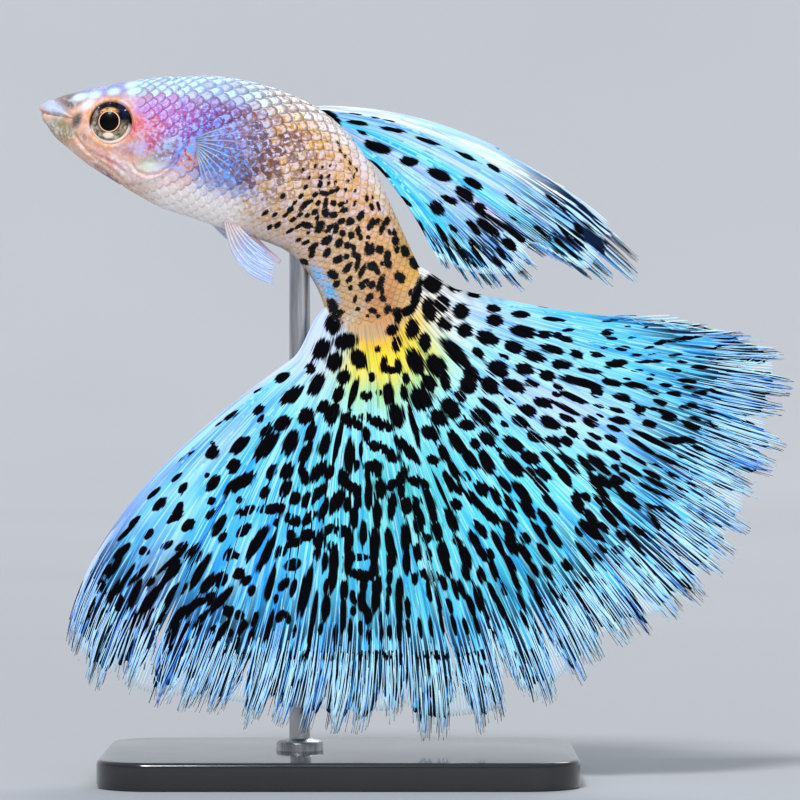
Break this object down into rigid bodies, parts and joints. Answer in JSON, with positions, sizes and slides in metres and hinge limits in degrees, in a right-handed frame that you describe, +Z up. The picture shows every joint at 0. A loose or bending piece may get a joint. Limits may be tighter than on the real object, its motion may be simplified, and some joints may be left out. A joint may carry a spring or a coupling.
{
  "type": "fancy guppy",
  "caption": "Life-size still model of a male fancy guppy with a broad leopard-spotted tail and a long back fin, bent in a turn and held on a plain display stand.",
  "frame": {"origin": "middle of the flat underside of the stand's base", "axes": "+Z up; the fish looks along -X and its left side faces -Y"},
  "size_m": [0.0541, 0.024, 0.0506],
  "materials": {
    "skin": "wet, scaled fish skin, violet blue in front and spotted orange behind",
    "eye": "clear wet cornea over a silver and gold iris",
    "fin": "thin pale blue membrane with white rays and black spots",
    "clear_fin": "thin clear membrane with whitish blue rays",
    "stand": "polished black acrylic",
    "stand_rod": "fine brushed steel"
  },
  "bodies": {
    "root": {"head": "skin", "trunk": "skin", "tail_stalk": "skin", "eye_l": "eye", "eye_r": "eye", "tail_fin": "fin", "dorsal_fin": "fin", "pectoral_fin_l": "clear_fin", "pectoral_fin_r": "clear_fin", "pelvic_fin_l": "clear_fin", "pelvic_fin_r": "clear_fin", "gonopodium": "clear_fin", "stand_base": "stand", "stand_rod": "stand_rod"}
  },
  "joints": []
}
